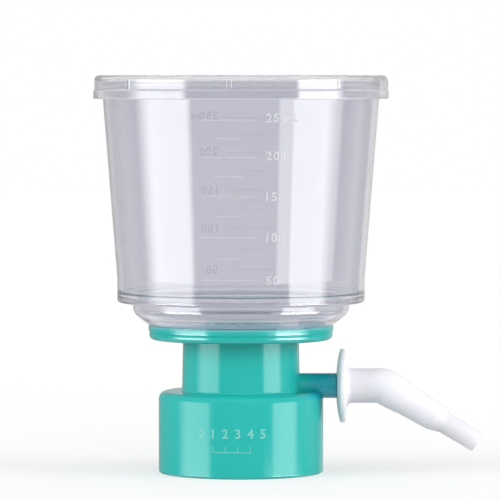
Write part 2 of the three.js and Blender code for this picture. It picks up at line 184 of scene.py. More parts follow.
# ---- Lid
LID_STEP = 0.35  # outward, from the lid's side to its lower band
LID_R = LID_BAND_R - LID_STEP
LID_INNER_R = LID_R - 0.95
LID_CEILING = LID_TOP - 1.3
LID_ROUND = 1.4
LID_INNER_ROUND = 0.5
LID_BAND_TOP = LID_BOTTOM + 2.5
LID_STEP_TOP = LID_BAND_TOP + LID_STEP
LID_SMOOTH_ANGLE = math.radians(8.5)  # keeps its flat top flat
LID_RIBS = 8
LID_RIB_HALF = 0.65  # half a rib's width
LID_RIB_TAPER = 0.15
LID_RIB_DEPTH = 0.6
LID_RIB_TURN = math.radians(-4.3)
LID_PADS = (  # half width, height and slope of the low pads, one on the other, outside each rib
    (0.6, 0.14, math.radians(31)),
    (0.85, 0.06, math.radians(10)),
)
PAD_SINK = 0.3  # how far a pad reaches into the lid's side
PAD_FOOT = LID_BAND_TOP + 0.6
PAD_TOP = LID_TOP - 1.2

# ---- Connector, by distance along its middle line from the hub's face
HUB_R = 4.8
TUBE_R = 5.1
CONE_START_R = 5.35
CONE_END_R = 4.25
CONE_L = 18.3
RING_STEP = 7.4  # from the bend's corner to the small step in the cone
RING_DEPTH = 0.16
TIP_START = 21.4  # also from the bend's corner
TIP_END = 32.7
TIP_R = 3.2
TIP_END_R = 3.12
DISC_FACE = 1.05
DISC_BACK = 2.6
BEND = math.radians(31)
BEND_TANGENT = 1.5
BEND_RADIUS = BEND_TANGENT / math.tan(BEND / 2)
BEND_START = SPIGOT_END + GAP + 1.2 - HUB_X
BEND_END = BEND_START + BEND_RADIUS * BEND
TUBE_BORE_R = 2.1
PLUG_START = 3  # from the bend's corner
PLUG_L = 10
PLUG_SIDES = 32
TUBE_STEP = 0.5  # longest stretch of the tube's outline, so that it bends evenly


# ---- Meshes

def link(data):
    """A new object of a mesh, a text, a lamp or a camera, in the scene."""
    made = bpy.data.objects.new(data.name, data)
    bpy.context.scene.collection.objects.link(made)
    return made


def rounded(corners):
    """A closed outline as 2D points, from corners (r, z) and rounded corners (r, z, radius)."""
    outline = []
    for i, (r, z, *radius) in enumerate(corners):
        here = Vector((r, z))
        if not radius:
            outline.append(here)
            continue
        back = (Vector(corners[i - 1][:2]) - here).normalized()
        ahead = (Vector(corners[(i + 1) % len(corners)][:2]) - here).normalized()
        half = back.angle(ahead) / 2
        centre = here + (back + ahead).normalized() * radius[0] / math.sin(half)
        reach = radius[0] / math.tan(half)
        first = here + back * reach - centre
        last = here + ahead * reach - centre
        turn = math.atan2(first.x * last.y - first.y * last.x, first.dot(last))
        steps = max(2, round(abs(turn) / ARC_STEP))
        for k in range(steps + 1):
            outline.append(centre + Matrix.Rotation(turn * k / steps, 2) @ first)
    return outline


def upright(z):
    """The collar's axis: its point at a height, and the way a turned outline starts."""
    return Vector((AXIS_X, 0, z)), Vector((1, 0, 0))


def along_arm(x):
    return Vector((AXIS_X + x, 0, ARM_Z)), Vector((0, 0, -1))


def along_connector(s):
    """The connector's middle line: straight, through the bend, and straight down the nozzle."""
    bent = BEND * min(max((s - BEND_START) / (BEND_END - BEND_START), 0), 1)
    at = Vector((AXIS_X + HUB_X + min(s, BEND_START), 0, ARM_Z))
    at += BEND_RADIUS * Vector((math.sin(bent), 0, math.cos(bent) - 1))
    way = Vector((math.cos(bent), 0, -math.sin(bent)))
    at += way * max(s - BEND_END, 0)
    return at, Vector((-math.sin(bent), 0, -math.cos(bent)))


def turned(name, outline, route=upright, sides=SIDES):
    """A body turned from a closed outline, which runs anticlockwise, about a straight or bent middle line."""
    points, rings, faces = [], [], []
    for r, s in outline:
        centre, across = route(s)
        if r < 1e-6:
            rings.append([len(points)] * sides)
            points.append(centre)
            continue
        rings.append(range(len(points), len(points) + sides))
        for k in range(sides):
            a = 2 * math.pi * k / sides
            points.append(centre + r * (math.cos(a) * across + math.sin(a) * Vector((0, 1, 0))))
    for low, high in zip(rings, rings[1:] + rings[:1]):
        for k in range(sides):
            face = [low[k], low[(k + 1) % sides], high[(k + 1) % sides], high[k]]
            face = list(dict.fromkeys(face))
            if len(face) > 2:
                faces.append(face)
    mesh = bpy.data.meshes.new(name)
    mesh.from_pydata([p * MM for p in points], [], faces)
    return link(mesh)


def refined(outline, step):
    """The outline with more points, so that no stretch is longer than a step."""
    points = []
    for a, b in zip(outline, outline[1:] + outline[:1]):
        parts = max(1, math.ceil((b - a).length / step))
        points += [a.lerp(b, k / parts) for k in range(parts)]
    return points


def bar(name, low, high, taper=0.0):
    """A square bar between two corners on the collar's axis, its far side (high y) narrower by the taper."""
    corners = []
    for z in (low[2], high[2]):
        for y, inset in ((low[1], 0.0), (high[1], taper)):
            corners += [Vector((low[0] + inset, y, z)), Vector((high[0] - inset, y, z))]
    faces = [(0, 2, 3, 1), (4, 5, 7, 6), (0, 1, 5, 4), (2, 6, 7, 3), (0, 4, 6, 2), (1, 3, 7, 5)]
    mesh = bpy.data.meshes.new(name)
    mesh.from_pydata([(p + Vector((AXIS_X, 0, 0))) * MM for p in corners], [], faces)
    return link(mesh)


def baked(piece):
    """The piece with its modifiers turned into a plain mesh."""
    evaluated = piece.evaluated_get(bpy.context.evaluated_depsgraph_get())
    mesh = bpy.data.meshes.new_from_object(evaluated)
    piece.modifiers.clear()
    piece.data = mesh
    return piece


def combine(piece, other, operation):
    """Joins or cuts a piece with another, which is then gone."""
    modifier = piece.modifiers.new(operation.lower(), "BOOLEAN")
    modifier.operation = operation
    modifier.solver = "EXACT"
    modifier.object = other
    baked(piece)
    bpy.data.objects.remove(other)
    return piece


def dressed(piece, name, material, smooth_angle=SMOOTH_ANGLE):
    """The piece under its name, smooth where it is round, with one material."""
    piece.name = name
    mesh = piece.data
    mesh.name = name
    mesh.materials.clear()
    mesh.materials.append(material)
    mesh.polygons.foreach_set("material_index", [0] * len(mesh.polygons))
    mesh.shade_smooth()
    mesh.set_sharp_from_angle(angle=smooth_angle)
    return piece


# ---- Node trees

def put(tree, socket, value):
    """Sets an input, from a value or from another node's output."""
    if isinstance(value, bpy.types.NodeSocket):
        tree.links.new(value, socket)
    else:
        socket.default_value = value


def node(tree, kind, inputs=None, **settings):
    """A new node with its settings and its inputs, by name or by number."""
    made = tree.nodes.new(kind)
    for name, value in settings.items():
        setattr(made, name, value)
    for key, value in (inputs or {}).items():
        put(tree, made.inputs[key], value)
    return made


def maths(tree, operation, a, b=0.0):
    return node(tree, "ShaderNodeMath", {0: a, 1: b}, operation=operation).outputs[0]


def step_between(tree, value, start, end, first=0.0, last=1.0):
    return node(tree, "ShaderNodeMapRange",
                {"Value": value, "From Min": start, "From Max": end, "To Min": first, "To Max": last},
                interpolation_type="SMOOTHSTEP").outputs[0]


def vector(tree, **parts):
    """A vector from its X, Y and Z."""
    return node(tree, "ShaderNodeCombineXYZ", parts).outputs[0]


def parts_of(tree, whole):
    """A vector's X, Y and Z."""
    return node(tree, "ShaderNodeSeparateXYZ", {0: whole}).outputs


def shape_tree(name, **sizes):
    """A Geometry Nodes tree with named inputs. Returns it with its input and output nodes."""
    tree = bpy.data.node_groups.new(name, "GeometryNodeTree")
    tree.interface.new_socket("Geometry", in_out="INPUT", socket_type="NodeSocketGeometry")
    for label, kind in {**sizes, "Axis": "Float", "Material": "Material"}.items():
        tree.interface.new_socket(label.replace("_", " "), in_out="INPUT", socket_type="NodeSocket" + kind)
    tree.interface.new_socket("Geometry", in_out="OUTPUT", socket_type="NodeSocketGeometry")
    return tree, node(tree, "NodeGroupInput").outputs, node(tree, "NodeGroupOutput")


def finish_tree(tree, sizes, end, geometry):
    """Ends a tree in Realize Instances and Set Material."""
    real = node(tree, "GeometryNodeRealizeInstances", {0: geometry})
    dress = node(tree, "GeometryNodeSetMaterial",
                 {"Geometry": real.outputs[0], "Material": sizes["Material"]})
    put(tree, end.inputs[0], dress.outputs[0])
    return tree


def shifted(tree, geometry, way):
    return node(tree, "GeometryNodeTransform", {"Geometry": geometry, "Translation": way}).outputs[0]


def copies_at(tree, points, copied, inputs=None):
    return node(tree, "GeometryNodeInstanceOnPoints",
                {"Points": points, "Instance": copied, **(inputs or {})}).outputs[0]


def ring_curve(tree, sides, radius):
    return node(tree, "GeometryNodeCurvePrimitiveCircle", {"Resolution": sides, "Radius": radius}).outputs[0]


def thickened(tree, sheet, thickness, weld):
    """A closed plate from a sheet, its edges joined where they lie nearer than the weld distance."""
    risen = node(tree, "GeometryNodeExtrudeMesh",
                 {"Mesh": sheet, "Offset Scale": thickness, "Individual": False})
    under = node(tree, "GeometryNodeFlipFaces", {0: sheet})
    both = node(tree, "GeometryNodeJoinGeometry", {0: under.outputs[0]})
    tree.links.new(risen.outputs[0], both.inputs[0])
    return node(tree, "GeometryNodeMergeByDistance",
                {"Geometry": both.outputs[0], "Distance": weld}).outputs[0]


def grown(piece, tree, **sizes):
    """The piece's mesh after a Geometry Nodes tree, whose inputs are set by their identifiers."""
    modifier = piece.modifiers.new(tree.name, "NODES")
    modifier.node_group = tree
    sizes["axis"] = AXIS_X * MM
    for socket in tree.interface.items_tree:
        key = socket.name.replace(" ", "_").lower()
        if socket.in_out == "INPUT" and key in sizes:
            modifier[socket.identifier] = sizes[key]
    return baked(piece)


def empty_piece(name):
    return link(bpy.data.meshes.new(name))


def thread_tree():
    """A round rib on a helix, which runs out into the wall at both ends."""
    tree, sizes, end = shape_tree("thread", Radius="Float", Rib_Radius="Float", Pitch="Float", Turns="Float",
                                  Start="Float", Runout="Float", Sink="Float")
    rise = maths(tree, "MULTIPLY", sizes["Pitch"], sizes["Turns"])
    spiral = node(tree, "GeometryNodeCurveSpiral",
                  {"Resolution": THREAD_STEPS, "Rotations": sizes["Turns"], "Start Radius": sizes["Radius"],
                   "End Radius": sizes["Radius"], "Height": rise})
    along = node(tree, "GeometryNodeSplineParameter").outputs["Factor"]
    from_end = maths(tree, "MINIMUM", along, maths(tree, "SUBTRACT", 1.0, along))
    run = step_between(tree, from_end, 0.0, sizes["Runout"], 1.0, 0.0)
    at = node(tree, "GeometryNodeInputPosition").outputs[0]
    flat = node(tree, "ShaderNodeVectorMath", {0: at, 1: (1, 1, 0)}, operation="MULTIPLY")
    way = node(tree, "ShaderNodeVectorMath", {0: flat.outputs[0]}, operation="NORMALIZE")
    sunk_by = maths(tree, "MULTIPLY", run, sizes["Sink"])
    sink = node(tree, "ShaderNodeVectorMath", {0: way.outputs[0], "Scale": sunk_by}, operation="SCALE")
    sunk = node(tree, "GeometryNodeSetPosition", {"Geometry": spiral.outputs[0], "Offset": sink.outputs[0]})
    share = maths(tree, "SUBTRACT", 1.0, maths(tree, "MULTIPLY", run, THREAD_END_LOSS))
    thinned = node(tree, "GeometryNodeSetCurveRadius", {"Curve": sunk.outputs[0], "Radius": share})
    profile = ring_curve(tree, SMALL_SIDES, sizes["Rib Radius"])
    rib = node(tree, "GeometryNodeCurveToMesh",
               {"Curve": thinned.outputs[0], "Profile Curve": profile, "Scale": share, "Fill Caps": True})
    place = vector(tree, X=sizes["Axis"], Z=sizes["Start"])
    return finish_tree(tree, sizes, end, shifted(tree, rib.outputs[0], place))


def ring_tree():
    """Copies of the piece set evenly round the collar's axis."""
    tree, sizes, end = shape_tree("ring_of_copies", Count="Int", Turn="Float")
    to_axis = vector(tree, X=maths(tree, "MULTIPLY", sizes["Axis"], -1.0))
    centred = shifted(tree, sizes["Geometry"], to_axis)
    spots = node(tree, "GeometryNodeMeshLine", {"Count": sizes["Count"], "Offset": (0, 0, 0)})
    step = maths(tree, "DIVIDE", math.tau, sizes["Count"])
    share = maths(tree, "MULTIPLY", node(tree, "GeometryNodeInputIndex").outputs[0], step)
    turn = vector(tree, Z=maths(tree, "ADD", share, sizes["Turn"]))
    copies = copies_at(tree, spots.outputs[0], centred, {"Rotation": turn})
    return finish_tree(tree, sizes, end, shifted(tree, copies, vector(tree, X=sizes["Axis"])))


def holed_plate_tree():
    """A disc with rings of round holes, six more in each ring, round a plain centre."""
    tree, sizes, end = shape_tree("holed_plate", Radius="Float", Thickness="Float", Hole_Radius="Float",
                                  Ring_Pitch="Float", Height="Float")
    hole = ring_curve(tree, SMALL_SIDES, sizes["Hole Radius"])
    outlines = node(tree, "GeometryNodeJoinGeometry", {0: ring_curve(tree, PLATE_SIDES, sizes["Radius"])})
    for ring in range(1, HOLE_RINGS + 1):
        reach = maths(tree, "MULTIPLY", sizes["Ring Pitch"], float(ring))
        spots = node(tree, "GeometryNodeMeshCircle", {"Vertices": 6 * ring, "Radius": reach})
        tree.links.new(copies_at(tree, spots.outputs[0], hole), outlines.inputs[0])
    lines = node(tree, "GeometryNodeRealizeInstances", {0: outlines.outputs[0]})
    sheet = node(tree, "GeometryNodeFillCurve", {"Curve": lines.outputs[0]}).outputs[0]
    plate = thickened(tree, sheet, sizes["Thickness"], 0.001 * MM)
    place = vector(tree, X=sizes["Axis"], Z=sizes["Height"])
    return finish_tree(tree, sizes, end, shifted(tree, plate, place))


def print_tree():
    """Lays flat artwork, drawn in x and z, on a round tapered wall, and gives the ink its thickness."""
    tree, sizes, end = shape_tree("print_on_wall", Foot_Radius="Float", Foot_Height="Float", Flare="Float",
                                  Turn="Float", Ink="Float")
    at = parts_of(tree, node(tree, "GeometryNodeInputPosition").outputs[0])
    rise = maths(tree, "SUBTRACT", at["Z"], sizes["Foot Height"])
    radius = maths(tree, "ADD", maths(tree, "MULTIPLY", rise, sizes["Flare"]), sizes["Foot Radius"])
    angle = maths(tree, "ADD", maths(tree, "DIVIDE", at["X"], radius), sizes["Turn"])
    x = maths(tree, "MULTIPLY", radius, maths(tree, "SINE", angle))
    y = maths(tree, "MULTIPLY", radius, maths(tree, "MULTIPLY", maths(tree, "COSINE", angle), -1.0))
    spot = vector(tree, X=maths(tree, "ADD", x, sizes["Axis"]), Y=y, Z=at["Z"])
    laid = node(tree, "GeometryNodeSetPosition", {"Geometry": sizes["Geometry"], "Position": spot}).outputs[0]
    return finish_tree(tree, sizes, end, thickened(tree, laid, sizes["Ink"], 0.0001 * MM))


# ---- Materials

TEALS = ((0.015, 0.415, 0.377, 1), (0.016, 0.431, 0.392, 1))
# Painted shade: a darker, bluer teal for the arm, for the shade that the neck and the connector's disc cast
# on it
ARM_SHADE_TEAL = (0.009, 0.34, 0.43, 1)
# Painted sheen: a paler teal for the flange's top, for the haze and reflections of the clear foot over it
FLANGE_SHEEN_TEAL = (0.13, 0.47, 0.5, 1)
CUP_TINT = (0.735, 0.735, 0.79, 1)
LID_TINT = (0.88, 0.88, 0.91, 1)
CLEAR_SHADE = (0.88, 0.88, 0.92, 1)  # of light that falls through a clear wall
MILKS = ((0.81, 0.795, 0.855, 1), (0.83, 0.815, 0.875, 1))
FILM_WHITES = ((0.80, 0.81, 0.82, 1), (0.87, 0.88, 0.89, 1))
PLATE_WHITES = ((0.78, 0.79, 0.80, 1), (0.84, 0.85, 0.86, 1))
SILICONE_GREYS = ((0.62, 0.62, 0.60, 1), (0.70, 0.70, 0.68, 1))
WELD_WHITES = ((0.76, 0.89, 0.93, 1), (0.84, 0.94, 0.97, 1))
FIBRE_CREAMS = ((0.70, 0.69, 0.66, 1), (0.90, 0.89, 0.86, 1))
INK_WHITES = ((0.80, 0.80, 0.84, 1), (0.90, 0.90, 0.93, 1))
INK_MINTS = ((0.32, 0.78, 0.72, 1), (0.40, 0.84, 0.78, 1))
STYRENE_IOR = 1.57
PLASTIC_IOR = 1.5


def blank_material(name):
    """A new material with no nodes yet. Returns it with its tree."""
    material = bpy.data.materials.new(name)
    material.use_nodes = True
    material.node_tree.nodes.clear()
    return material, material.node_tree


def finished(material, shader):
    """The material, with a shader for its surface."""
    tree = material.node_tree
    put(tree, node(tree, "ShaderNodeOutputMaterial").inputs["Surface"], shader)
    return material


def object_place(tree):
    return node(tree, "ShaderNodeTexCoord").outputs["Object"]


def pattern(tree, scale, detail=2.0, stretch=(1, 1, 1)):
    """A noise over Object coordinates, centred on the collar's axis."""
    place = node(tree, "ShaderNodeMapping",
                 {"Vector": object_place(tree), "Location": (-AXIS_X * MM, 0, 0), "Scale": stretch})
    return node(tree, "ShaderNodeTexNoise",
                {"Vector": place.outputs[0], "Scale": scale, "Detail": detail}).outputs["Fac"]


def ranged(tree, value, low, high):
    return node(tree, "ShaderNodeMapRange", {"Value": value, "To Min": low, "To Max": high}).outputs[0]


def blended(tree, factor, first, second):
    """A colour between two, by a factor."""
    return node(tree, "ShaderNodeMix", {0: factor, 6: first, 7: second}, data_type="RGBA").outputs[2]


def shader_mix(tree, factor, first, second):
    return node(tree, "ShaderNodeMixShader", {0: factor, 1: first, 2: second}).outputs[0]


def bumped(tree, height, distance, onto=None):
    inputs = {"Height": height, "Distance": distance, "Strength": 1.0}
    if onto is not None:
        inputs["Normal"] = onto
    return node(tree, "ShaderNodeBump", inputs).outputs[0]


def skin(tree, colour, roughness, normal=None, more=None):
    """A Principled surface: its colour, roughness and relief, and more of its inputs by name."""
    inputs = {"Base Color": colour, "Roughness": roughness, **(more or {})}
    if normal is not None:
        inputs["Normal"] = normal
    return node(tree, "ShaderNodeBsdfPrincipled", inputs).outputs[0]


def teal_plastic():
    """Pigmented moulded polystyrene: even colour but for a painted shade on the arm and a painted sheen along
    the flange's top; soft gloss, a faint unevenness of the mould.
    """
    material, tree = blank_material("teal_plastic")
    colour = blended(tree, pattern(tree, 45), *TEALS)
    place = parts_of(tree, object_place(tree))
    # Painted shade: the arm, beside the neck and over the collar, gets a darker, bluer teal for the shade it
    # lies in
    from_neck = step_between(tree, place["X"], (AXIS_X + NECK_R - 1) * MM, (AXIS_X + COLLAR_R) * MM)
    to_arm = step_between(tree, place["Z"], (ARM_Z + ARM_R + 1) * MM, (ARM_Z + ARM_R + 3) * MM, 1.0, 0.0)
    over_collar = step_between(tree, place["Z"], (COLLAR_H - 2.5) * MM, (COLLAR_H - 1) * MM)
    past_collar = step_between(tree, place["X"], (AXIS_X + COLLAR_R) * MM, (AXIS_X + COLLAR_R + 0.4) * MM)
    clear_of_collar = maths(tree, "MAXIMUM", over_collar, past_collar)
    arm_shade = maths(tree, "MULTIPLY", maths(tree, "MULTIPLY", from_neck, to_arm), clear_of_collar)
    colour = blended(tree, arm_shade, colour, ARM_SHADE_TEAL)
    # Painted sheen: the flange is painted paler towards its top, where the clear cup's foot laps over it
    welded = step_between(tree, place["Z"], (FLANGE_TOP - FLANGE_SHEEN_DEPTH) * MM, FLANGE_TOP * MM)
    colour = blended(tree, welded, colour, FLANGE_SHEEN_TEAL)
    waves = bumped(tree, pattern(tree, 130), 0.03 * MM)
    grain = bumped(tree, pattern(tree, 2600), 0.0025 * MM, waves)
    gloss = ranged(tree, pattern(tree, 700), 0.12, 0.17)
    return finished(material, skin(tree, colour, gloss, grain, {"IOR": PLASTIC_IOR}))


def clear_plastic(name, tint, roughness, gloss):
    """Clear polystyrene with faint flow lines. Light falls through it on what lies behind."""
    material, tree = blank_material(name)
    flow = bumped(tree, pattern(tree, 60, 1.0, (1, 1, 0.2)), 0.04 * MM)
    clear = skin(tree, tint, roughness, flow,
                 {"IOR": STYRENE_IOR, "Transmission Weight": 1.0,
                  "Coat Weight": 0.9, "Coat Roughness": 0.05, "Coat IOR": gloss})
    free = node(tree, "ShaderNodeBsdfTransparent", {"Color": CLEAR_SHADE}).outputs[0]
    shadow = node(tree, "ShaderNodeLightPath").outputs["Is Shadow Ray"]
    return finished(material, shader_mix(tree, shadow, clear, free))


def milky_plastic():
    """Unpigmented polyethylene: white, a little translucent, with a soft gloss."""
    material, tree = blank_material("milky_plastic")
    colour = blended(tree, pattern(tree, 160), *MILKS)
    gloss = ranged(tree, pattern(tree, 900), 0.34, 0.42)
    relief = bumped(tree, pattern(tree, 420), 0.025 * MM)
    milk = skin(tree, colour, gloss, relief,
                {"IOR": PLASTIC_IOR, "Subsurface Weight": 0.6, "Subsurface Scale": 5 * MM,
                 "Subsurface Radius": (1.0, 0.95, 0.9)})
    return finished(material, milk)


def membrane_material():
    """Matt microporous film, with a fine crossed grain."""
    material, tree = blank_material("membrane")
    colour = blended(tree, pattern(tree, 900, 4.0), *FILM_WHITES)
    grain = bumped(tree, pattern(tree, 3500, 3.0), 0.02 * MM)
    return finished(material, skin(tree, colour, 0.85, grain))


def satin_plastic(name, colours, rough):
    """Plain satin moulding in near-white, for the pieces inside."""
    material, tree = blank_material(name)
    colour = blended(tree, pattern(tree, 220), *colours)
    gloss = ranged(tree, pattern(tree, 800), rough - 0.05, rough + 0.05)
    return finished(material, skin(tree, colour, gloss, bumped(tree, pattern(tree, 1500), 0.008 * MM)))


def fibre_material():
    """Packed polyester fibre, with its strands mostly along the plug."""
    material, tree = blank_material("fibre")
    strands = pattern(tree, 1800, 5.0, (0.25, 1, 1))
    colour = blended(tree, strands, *FIBRE_CREAMS)
    return finished(material, skin(tree, colour, 0.9, bumped(tree, strands, 0.1 * MM)))


def ink_material(name, colours, cover):
    """Screen-printed ink, a little uneven, which lets some light through from behind."""
    material, tree = blank_material(name)
    colour = blended(tree, pattern(tree, 2400, 3.0), *colours)
    back = node(tree, "ShaderNodeBsdfTranslucent", {"Color": colour}).outputs[0]
    film = shader_mix(tree, 0.4, skin(tree, colour, 0.5), back)
    free = node(tree, "ShaderNodeBsdfTransparent").outputs[0]
    return finished(material, shader_mix(tree, cover, free, film))


teal = teal_plastic()
clear_cup = clear_plastic("clear_cup", CUP_TINT, 0.03, 1.48)
clear_lid = clear_plastic("clear_lid", LID_TINT, 0.05, 1.84)
milky = milky_plastic()
membrane_film = membrane_material()
plate_white = satin_plastic("plate_white", PLATE_WHITES, 0.45)
silicone = satin_plastic("silicone", SILICONE_GREYS, 0.55)
pale_weld = satin_plastic("pale_weld", WELD_WHITES, 0.5)
fibre = fibre_material()
white_ink = ink_material("white_ink", INK_WHITES, 0.85)
thin_ink = ink_material("thin_ink", INK_WHITES, 0.17)
mint_ink = ink_material("mint_ink", INK_MINTS, 0.8)


# ---- Base

def cone_height(r):
    """Height of the drain cone's face at a radius."""
    return CONE_BOTTOM + (PLATE_SEAT - CONE_BOTTOM) * (r - DRIP_BORE_R) / (CONE_TOP_R - DRIP_BORE_R)


def base_shell():
    """Collar, neck, flange and drip tube in one turned body."""
    return turned("base_shell", rounded([
        (THREAD_ROOT_R + 0.3, 0, 0.15),
        (COLLAR_R, 0, 0.9),
        (COLLAR_R, COLLAR_H, COLLAR_SHOULDER),
        (NECK_R, COLLAR_H, 0.6),
        (NECK_TOP_R, FLANGE_BOTTOM, 0.6),
        (FLANGE_FOOT_R, FLANGE_BOTTOM, 1.5),
        (BAND_UNDER_R, GROOVE - GROOVE_HALF, 0.15),
        (BAND_UNDER_R - GROOVE_DEPTH, GROOVE, 0.1),
        (BAND_OVER_R, GROOVE + GROOVE_HALF, 0.15),
        (FLANGE_R, FLANGE_TOP, 0.4),
        (BOSS_R, FLANGE_TOP, 0.1),
        (BOSS_R, RIM_TOP, 0.12),
        (RIM_INNER_R, RIM_TOP, 0.12),
        (RIM_INNER_R, BOSS_TOP, 0.1),
        (PLATE_SEAT_R, BOSS_TOP, 0.12),
        (PLATE_SEAT_R, PLATE_SEAT),
        (CONE_TOP_R, PLATE_SEAT, 0.3),
        (DRIP_BORE_R, CONE_BOTTOM, 1),
        (DRIP_BORE_R, DRIP_END, 0.2),
        (DRIP_END_R, DRIP_END, 0.4),
        (DRIP_R, CONE_BOTTOM - CONE_WALL, 1),
        (NECK_BORE_R, cone_height(NECK_BORE_R) - CONE_WALL, 0.8),
        (NECK_BORE_R, SOCKET_TOP, 0.3),
        (THREAD_ROOT_R, SOCKET_TOP, 0.3),
        (THREAD_ROOT_R, 0.5, 0.3),
    ]))


def arm():
    """The arm outside the neck, with the spigot that the connector turns on."""
    return turned("arm", rounded([
        (0, ARM_ROOT),
        (ARM_R, ARM_ROOT),
        (ARM_R, ARM_END, 0.3),
        (SPIGOT_R, ARM_END, 0.1),
        (SPIGOT_R, SPIGOT_BEAD - BEAD_REACH),
        (SPIGOT_R + BEAD_RISE, SPIGOT_BEAD, 0.5),
        (SPIGOT_R, SPIGOT_BEAD + BEAD_REACH),
        (SPIGOT_R, SPIGOT_END, 0.3),
        (0, SPIGOT_END),
    ]), along_arm, TUBE_SIDES)


def arm_bore():
    """What is cut out of the arm, from the space round the drip tube to past the spigot's end."""
    start = (DRIP_R + NECK_BORE_R) / 2
    end = SPIGOT_END + 1
    outline = [(0, start), (ARM_BORE_R, start), (ARM_BORE_R, end), (0, end)]
    return turned("arm_bore", rounded(outline), along_arm, TUBE_SIDES)


def thread():
    return grown(
        empty_piece("thread"), thread_tree(),
        radius=(THREAD_ROOT_R - THREAD_DEPTH + THREAD_RIB_R) * MM, rib_radius=THREAD_RIB_R * MM,
        pitch=THREAD_PITCH * MM, turns=THREAD_TURNS, start=THREAD_START * MM,
        runout=THREAD_RUNOUT, sink=THREAD_SINK * MM, material=teal,
    )


def drain_ribs():
    """Radial ribs on the drain cone, which carry the plate."""
    foot = (cone_height(DRAIN_RIB_FROM) + cone_height(NECK_BORE_R) - CONE_WALL) / 2
    low = (DRAIN_RIB_FROM, -DRAIN_RIB_HALF, foot)
    high = (DRAIN_RIB_TO, DRAIN_RIB_HALF, PLATE_SEAT)
    rib = bar("drain_ribs", low, high)
    return grown(rib, copies_round_axis, count=DRAIN_RIBS, turn=0.0, material=teal)


def filter_base():
    body = combine(base_shell(), arm(), "UNION")
    body = combine(body, thread(), "UNION")
    body = combine(body, drain_ribs(), "UNION")
    body = combine(body, arm_bore(), "DIFFERENCE")
    return dressed(body, "filter_base", teal)


# ---- Pieces that lie in the base

def sealing_ring():
    low, high = gasket_low.z, gasket_high.z
    outline = [
        (GASKET_INNER_R, low, 0.3),
        (GASKET_R, low, 0.3),
        (GASKET_R, high, 0.3),
        (GASKET_INNER_R, high, 0.3),
    ]
    return dressed(turned("sealing_ring", rounded(outline)), "sealing_ring", silicone)


def holed_plate():
    plate = grown(
        empty_piece("holed_plate"), holed_plate_tree(),
        radius=PLATE_R * MM, thickness=(plate_high.z - plate_low.z) * MM, hole_radius=HOLE_R * MM,
        ring_pitch=HOLE_PITCH * MM, height=plate_low.z * MM, material=plate_white,
    )
    return dressed(plate, "holed_plate", plate_white)


def filter_membrane():
    low, high = membrane_low.z, membrane_high.z
    outline = [(0, low), (MEMBRANE_R, low, 0.06), (MEMBRANE_R, high, 0.06), (0, high)]
    return dressed(turned("filter_membrane", rounded(outline)), "filter_membrane", membrane_film)


# ---- Cup and its scale

def filter_cup():
    """Foot, bowl, step, skirt and tapered wall in one turned body, with a pocket of air in the foot."""
    inner_r = SKIRT_R - CUP_WALL
    inside_r = BOWL_R - CUP_WALL
    corner = CUP_FOOT + BOWL_CORNER
    inside_corner = corner + CUP_WALL * math.tan((math.pi / 2 - BOWL_SLOPE) / 2)
    lip_end = inside_r - (inside_corner - LIP_TOP) / math.tan(BOWL_SLOPE)
    foot_edge = CUP_FOOT - 0.2
    cone = math.atan2(corner - foot_edge, BOWL_R - FOOT_OUTER_R)
    face_r = FOOT_OUTER_R - FOOT_WALL / math.sin(cone)  # of the foot's inner face, level with its outer edge
    pocket_foot = foot_edge + (POCKET_R - face_r) * math.tan(cone)
    return dressed(turned("filter_cup", rounded([
        (LIP_R, LIP_BOTTOM, 0.25),
        (POCKET_INNER_R, LIP_BOTTOM),
        (POCKET_INNER_R, POCKET_TOP),
        (face_r + (POCKET_TOP - foot_edge) / math.tan(cone), POCKET_TOP, 0.12),
        (POCKET_R, pocket_foot),
        (FOOT_INNER_R, pocket_foot),
        (FOOT_INNER_R, FLANGE_TOP - WELD_LAP),
        (FOOT_OUTER_R, FLANGE_TOP - WELD_LAP),
        (FOOT_OUTER_R, foot_edge),
        (BOWL_R, corner, BOWL_ROUND),
        (BOWL_R, FLOOR_EDGE - CUP_WALL, 0.5),
        (inner_r, FLOOR_TOP - CUP_WALL, 0.4),
        (inner_r, SKIRT_BOTTOM, 0.3),
        (SKIRT_R, SKIRT_BOTTOM, 0.9),
        (SKIRT_R, SKIRT_TOP, FLARE_ROUND),
        (CUP_TOP_R, BEAD_BOTTOM, 0.2),
        (RIM_R, BEAD_BOTTOM + BEAD_SLANT, 0.2),
        (RIM_R, CUP_TOP, 0.35),
        (CUP_TOP_R - CUP_WALL, CUP_TOP, 0.35),
        (inner_r, SKIRT_TOP, FLARE_ROUND),
        (inner_r, FLOOR_TOP, 0.5),
        (inside_r, FLOOR_EDGE, 0.45),
        (inside_r, inside_corner, BOWL_ROUND - CUP_WALL),
        (lip_end, LIP_TOP, 0.3),
        (LIP_R, LIP_TOP, 0.25),
    ])), "filter_cup", clear_cup)


def weld_ribs():
    """Fine upright ribs between the base's raised edge and the cup's foot, where the two are welded."""
    out, into = WELD_RIB_REACH
    low = (-WELD_RIB_HALF, -BOSS_R - out, WELD_RIB_FOOT)
    high = (WELD_RIB_HALF, -BOSS_R + into, WELD_RIB_TOP)
    ribs = grown(bar("weld_ribs", low, high), copies_round_axis,
                 count=WELD_RIBS, turn=0.0, material=pale_weld)
    return dressed(ribs, "weld_ribs", pale_weld)


LETTER_TALL = 0.71  # a digit's height in the lettering, for a size of one
LETTER_WEIGHT = 0.02  # how much its strokes are thickened
STROKE_STEP = 0.8  # longest stretch of a line that bends round a wall


def cup_inner_radius(z):
    return SKIRT_R - CUP_WALL + WALL_FLARE * max(z - SKIRT_TOP, 0)


def fill_height(volume, low_volume, low_height):
    """Height in the cup that a volume in millilitres reaches, from one known line."""
    z, held, step = low_height, low_volume, 0.05
    while held < volume:
        held += math.pi * cup_inner_radius(z) ** 2 * step * MM
        z += step
    return z


